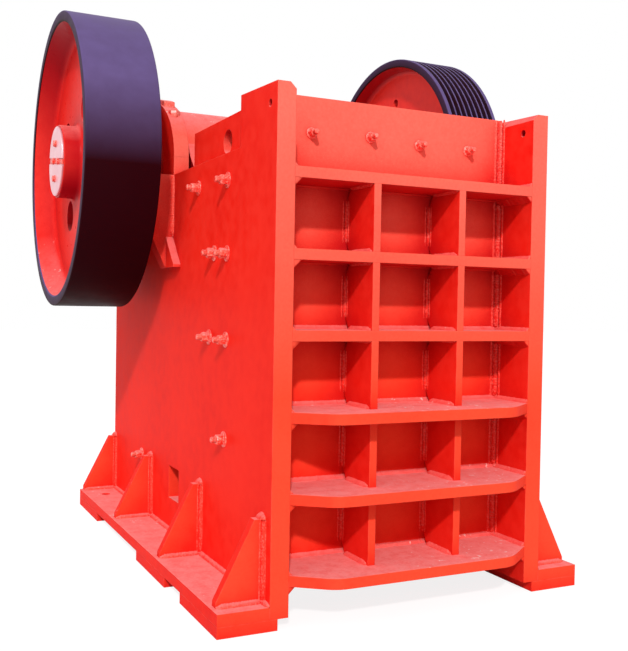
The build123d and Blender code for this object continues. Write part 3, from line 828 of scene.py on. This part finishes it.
def add_cap_parts():
    """A raised pad on the top of each bearing cap, and the nuts of its holding-down bolts."""
    for side in SIDES:
        low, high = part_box("bearing_cap_" + side)
        half, rise = (high.y - low.y) / 2, high.z - SHAFT.z
        across = (low.x + high.x) / 2

        def crown(offset):
            return SHAFT.z + rise * math.sqrt(1 - (offset / half) ** 2)

        shape = Shape()
        rings = []
        left, right = low.x + CAP_PAD_INSET, high.x - CAP_PAD_INSET
        for step in range(CAP_PAD_STEPS + 1):
            share = 2 * step / CAP_PAD_STEPS - 1
            offset = CAP_PAD_REACH * share
            foot = crown(offset) - CAP_PAD_SINK
            top = crown(offset) + CAP_PAD * (CAP_PAD_MIDDLE + (1 - CAP_PAD_MIDDLE) * share ** 2)
            rings.append([
                Vector((x, SHAFT.y + offset, z)) for x, z in (
                    (left, foot),
                    (right, foot),
                    (right, top - CAP_PAD_CHAMFER),
                    (right - CAP_PAD_CHAMFER, top),
                    (left + CAP_PAD_CHAMFER, top),
                    (left, top - CAP_PAD_CHAMFER),
                )
            ])
        shape.loft(rings)
        for offset in (-CAP_BOLT_REACH, CAP_BOLT_REACH):
            foot = Vector((across, SHAFT.y + offset, crown(abs(offset) + CAP_NUT / 2)))
            hexagon(shape, foot - Z * SINK, Z, CAP_NUT, CAP_NUT * CAP_NUT_HEIGHT, rng.uniform(0, 1))
        add_piece("cap_bolts_" + side, shape, [MATERIALS["bolt_paint"]], "frame")


def add_bearing_bolts():
    """Bolts round each bearing cover."""
    for side, sign in SIDES.items():
        low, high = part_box("bearing_cover_" + side)
        centre = Vector(((low.x + high.x) / 2, SHAFT.y, SHAFT.z))
        shape = Shape()
        for number in range(COVER_BOLTS):
            turn = 2 * math.pi * (number + 0.5) / COVER_BOLTS
            offset = COVER_BOLT_CIRCLE * Vector((0, math.cos(turn), math.sin(turn)))
            bolt(shape, centre + offset, X * sign, COVER_BOLT)
        add_piece("cover_bolts_" + side, shape, [MATERIALS["bolt_paint"]], "frame")


def add_front_welds():
    """Beads in the cells of the front wall: ribs, stiffeners, posts and wall."""
    shape = Shape()
    fillets = Shape()
    ribs = [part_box(f"front_rib_{number}") for number in range(1, 7)]
    for low, high in ribs:
        for height, up, leg in ((high.z, Z, LEG), (low.z, -Z, UNDER_PASS)):
            start, end = (Vector((INNER[side], PANEL, height)) for side in SIDES)
            bead(fillets, start, end, -Y, up, leg, FLAT_CROWN)
        for side, sign in SIDES.items():
            for height, up, fill, leg in ((high.z, Z, shape, LEG), (low.z, -Z, fillets, UNDER_LEG[side])):
                start = Vector((INNER[side], FRONT + SINK, height))
                end = Vector((INNER[side], PANEL, height))
                bead(fill, start, end, X * -sign, up, leg, FLAT_CROWN, taper=False)
    cells = [(below[1].z, above[0].z) for above, below in zip(ribs, ribs[1:])]
    for bottom, top in [(ribs[0][1].z, PANEL_TOP)] + cells:
        for side, sign in SIDES.items():
            corner = Vector((INNER[side], PANEL, bottom))
            corner_weld(shape, corner, corner + Z * (top - bottom), X * -sign, -Y)
    add_piece("front_welds", shape, [MATERIALS["weld_paint"]], "frame", ROUND_CREASE)
    add_piece("rib_fillets", fillets, [MATERIALS["red_paint"]], "frame", ROUND_CREASE)
    shape = Shape()
    for side in SIDES:
        low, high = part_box("front_stiffeners_" + side)
        for bottom, top in cells:
            for x, out in ((low.x, -X), (high.x, X)):
                start = Vector((x, PANEL, bottom + NOTCH_HEIGHT))
                corner_weld(shape, start, Vector((x, PANEL, top - NOTCH_HEIGHT)), out, -Y, LIGHT_LEG)
                for height, up, leg in ((bottom, Z, LEG), (top, -Z, LIGHT_LEG)):
                    start = Vector((x, FRONT + STIFFENER_SETBACK, height))
                    end = Vector((x, PANEL - NOTCH_DEPTH, height))
                    bead(shape, start, end, out, up, leg, FLAT_CROWN)
    add_piece("stiffener_welds", shape, [MATERIALS["weld_paint"]], "frame", ROUND_CREASE)


def node_planes(name, axis):
    """The places along an axis, 0 to 2, at which a node has corners, in order."""
    return sorted({round(vertex.co[axis], 4) for vertex in frame["nodes"][name].data.vertices})


def add_base_welds():
    """Beads round the gussets and along the base flanges."""
    for side, sign in SIDES.items():
        shape = Shape()
        low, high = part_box("base_gussets_" + side)
        out = X * sign
        reach = high.x - low.x
        rise = high.z - FLANGE_TOP
        wall = Vector((OUTER[side], 0, 0))
        faces = node_planes("base_gussets_" + side, 1)
        for front, back in zip(faces[0::2], faces[1::2]):
            for y, away in ((front, -Y), (back, Y)):
                foot = wall + Y * y + Z * FLANGE_TOP
                corner_weld(shape, foot, foot + Z * rise, out, away, LIGHT_LEG)
                bead(shape, foot, foot + out * reach, away, Z)
            top = wall + Z * high.z
            start, end = top + Y * (front - GUSSET_TOP_REACH), top + Y * (back + GUSSET_TOP_REACH)
            bead(shape, start, end, out, Z, GUSSET_TOP_LEG)
        ends = [FRONT] + faces + [REAR]
        for front, back in zip(ends[0::2], ends[1::2]):
            if back - front > SHORTEST_BEAD:
                foot = wall + Z * FLANGE_TOP
                bead(shape, foot + Y * front, foot + Y * back, out, Z)
        welds = [MATERIALS["weld_paint"]]
        add_piece("base_welds_" + side, shape, welds, "frame", ROUND_CREASE)


def add_rear_welds():
    """Beads on the rear wall, its ribs and its stiffeners."""
    shape = Shape()
    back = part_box("rear_wall")[1].y
    rib_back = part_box("rear_ribs")[1].y
    heights = node_planes("rear_ribs", 2)
    for height, up in zip(heights, [-Z, Z] * 3):
        bead(shape, Vector((INNER["left"], back, height)), Vector((INNER["right"], back, height)), Y, up)
        for side, sign in SIDES.items():
            corner = Vector((INNER[side], back, height))
            bead(shape, corner, corner + Y * (rib_back - back), X * -sign, up)
    for x, out in zip(node_planes("rear_stiffeners", 0), [-X, X] * 2):
        for bottom, top in zip(heights[1::2], heights[2::2]):
            bead(shape, Vector((x, back, bottom)), Vector((x, back, top)), out, Y)
    add_piece("rear_welds", shape, [MATERIALS["weld_paint"]], "frame", ROUND_CREASE)


def add_bracket_welds():
    """Beads where the bearing brackets and the hopper plates meet the side walls."""
    for side, sign in SIDES.items():
        shape = Shape()
        low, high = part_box("bearing_brackets_" + side)
        out = X * sign
        faces = node_planes("bearing_brackets_" + side, 1)[1:5]
        for y, away, toe in zip(faces, (-Y, Y, -Y, Y), (BRACKET_TOE, 0, 0, BRACKET_TOE)):
            foot = Vector((OUTER[side], y, low.z + toe))
            bead(shape, foot, Vector((OUTER[side], y, high.z)), out, away)
        plate_low, plate_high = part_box("hopper_plate_" + side)
        face = plate_high.x if sign > 0 else plate_low.x
        corner = Vector((face, plate_low.y, WALL_TOP))
        bead(shape, corner, Vector((face, plate_high.y, WALL_TOP)), out, Z)
        bead(shape, corner, Vector((face, plate_low.y, plate_high.z)), out, Y)
        welds = [MATERIALS["weld_paint"]]
        add_piece("bracket_welds_" + side, shape, welds, "frame", ROUND_CREASE)


def add_spring():
    """The tension rod's coil spring and the nuts behind its washer."""
    low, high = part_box("tension_spring")
    centre = (low + high) / 2
    radius = (high.z - low.z) / 2 - SPRING_WIRE
    run = high.y - low.y - 2 * SPRING_WIRE
    lead = run / SPRING_TURNS / (2 * math.pi)
    steps = SPRING_TURNS * SPRING_STEPS
    wire_angles = [2 * math.pi * number / WIRE_SEGMENTS for number in range(WIRE_SEGMENTS)]
    shape = Shape()
    rings = []
    for step in range(steps + 1):
        turn = 2 * math.pi * step / SPRING_STEPS
        outward = Vector((math.cos(turn), 0, math.sin(turn)))
        along = Vector((-math.sin(turn) * radius, lead, math.cos(turn) * radius))
        place = Vector((centre.x, low.y + SPRING_WIRE + run * step / steps, centre.z)) + outward * radius
        across = along.normalized().cross(outward)
        rings.append([
            place + SPRING_WIRE * (math.cos(angle) * outward + math.sin(angle) * across)
            for angle in wire_angles
        ])
    shape.loft(rings)
    piece = add_piece("spring_coil", shape, [MATERIALS["dark_steel"]], "frame", ROUND_CREASE)
    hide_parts("tension_spring")
    nuts = Shape()
    rod_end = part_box("tension_rod")[1].y
    for along in ROD_NUT_PLACES:
        place = Vector((centre.x, rod_end - along, centre.z))
        hexagon(nuts, place, Y, ROD_NUT_FLATS, ROD_NUT_HEIGHT, ROD_NUT_TURN + along)
    add_piece("rod_nuts", nuts, [MATERIALS["dark_steel"]], "frame")


def add_camera():
    forward = Vector((
        -math.sin(CAMERA_YAW) * math.cos(CAMERA_PITCH),
        math.cos(CAMERA_YAW) * math.cos(CAMERA_PITCH),
        math.sin(CAMERA_PITCH),
    ))
    level = Vector((math.cos(CAMERA_YAW), math.sin(CAMERA_YAW), 0))
    up = level.cross(forward)
    right = math.cos(CAMERA_ROLL) * level + math.sin(CAMERA_ROLL) * up
    top = math.cos(CAMERA_ROLL) * up - math.sin(CAMERA_ROLL) * level
    data = bpy.data.cameras.new("camera")
    data.sensor_fit = "VERTICAL"
    data.sensor_height = CAMERA_SENSOR
    data.lens = CAMERA_LENS
    camera = bpy.data.objects.new("camera", data)
    turn = Matrix((right, top, -forward)).transposed().to_4x4()
    camera.matrix_world = Matrix.Translation(CAMERA_EYE) @ turn
    bpy.context.scene.collection.objects.link(camera)
    bpy.context.scene.camera = camera


def add_sun(name, direction, energy, spread, colour):
    data = bpy.data.lights.new(name, "SUN")
    data.energy = energy
    data.angle = math.radians(spread)
    data.color = colour
    lamp = bpy.data.objects.new(name, data)
    lamp.rotation_euler = Vector(direction).to_track_quat("-Z", "Y").to_euler()
    bpy.context.scene.collection.objects.link(lamp)


def seen_directly(tree):
    """One where a camera, mirror or glass ray arrives, and nought for the light on the object."""
    path = node(tree, "LightPath")
    either = larger(tree, path.outputs["Is Camera Ray"], path.outputs["Is Glossy Ray"])
    return larger(tree, either, path.outputs["Is Transmission Ray"])


def add_light():
    add_sun("key", **KEY_SUN)
    add_sun("fill", **FILL_SUN)
    world = bpy.data.worlds.new("studio")
    bpy.context.scene.world = world
    world.use_nodes = True
    tree = world.node_tree
    light = tree.nodes["Background"]
    light.inputs["Color"].default_value = SKY
    light.inputs["Strength"].default_value = SKY_STRENGTH
    backdrop = node(tree, "Background", {"Color": WHITE, "Strength": 1.0})
    mixed = node(tree, "MixShader", {
        0: seen_directly(tree), 1: light.outputs[0], 2: backdrop.outputs[0],
    })
    tree.links.new(mixed.outputs[0], tree.nodes["World Output"].inputs["Surface"])


def add_floor():
    bpy.ops.mesh.primitive_plane_add(size=FLOOR_SIZE, location=(0, 0, 0))
    floor = bpy.context.object
    floor.name = "floor"
    material, tree, shader = new_material("floor")
    shader.inputs["Base Color"].default_value = FLOOR
    shader.inputs["Roughness"].default_value = FLOOR_ROUGHNESS
    shader.inputs["Specular IOR Level"].default_value = 0.0
    glow = node(tree, "Emission", {"Color": WHITE, "Strength": FLOOR_GLOW})
    mixed = node(tree, "MixShader", {
        0: times(tree, seen_directly(tree), FLOOR_GLOW_SHARE), 1: shader.outputs[0], 2: glow.outputs[0],
    })
    tree.links.new(mixed.outputs[0], tree.nodes["Material Output"].inputs["Surface"])
    floor.data.materials.append(material)


paint_nodes()
add_flywheel()
add_pulley()
add_end_plates()
add_studs()
add_bearing_bolts()
add_cap_parts()
add_front_welds()
add_base_welds()
add_rear_welds()
add_bracket_welds()
add_spring()
add_camera()
add_light()
add_floor()
bpy.context.scene.view_settings.view_transform = "Standard"
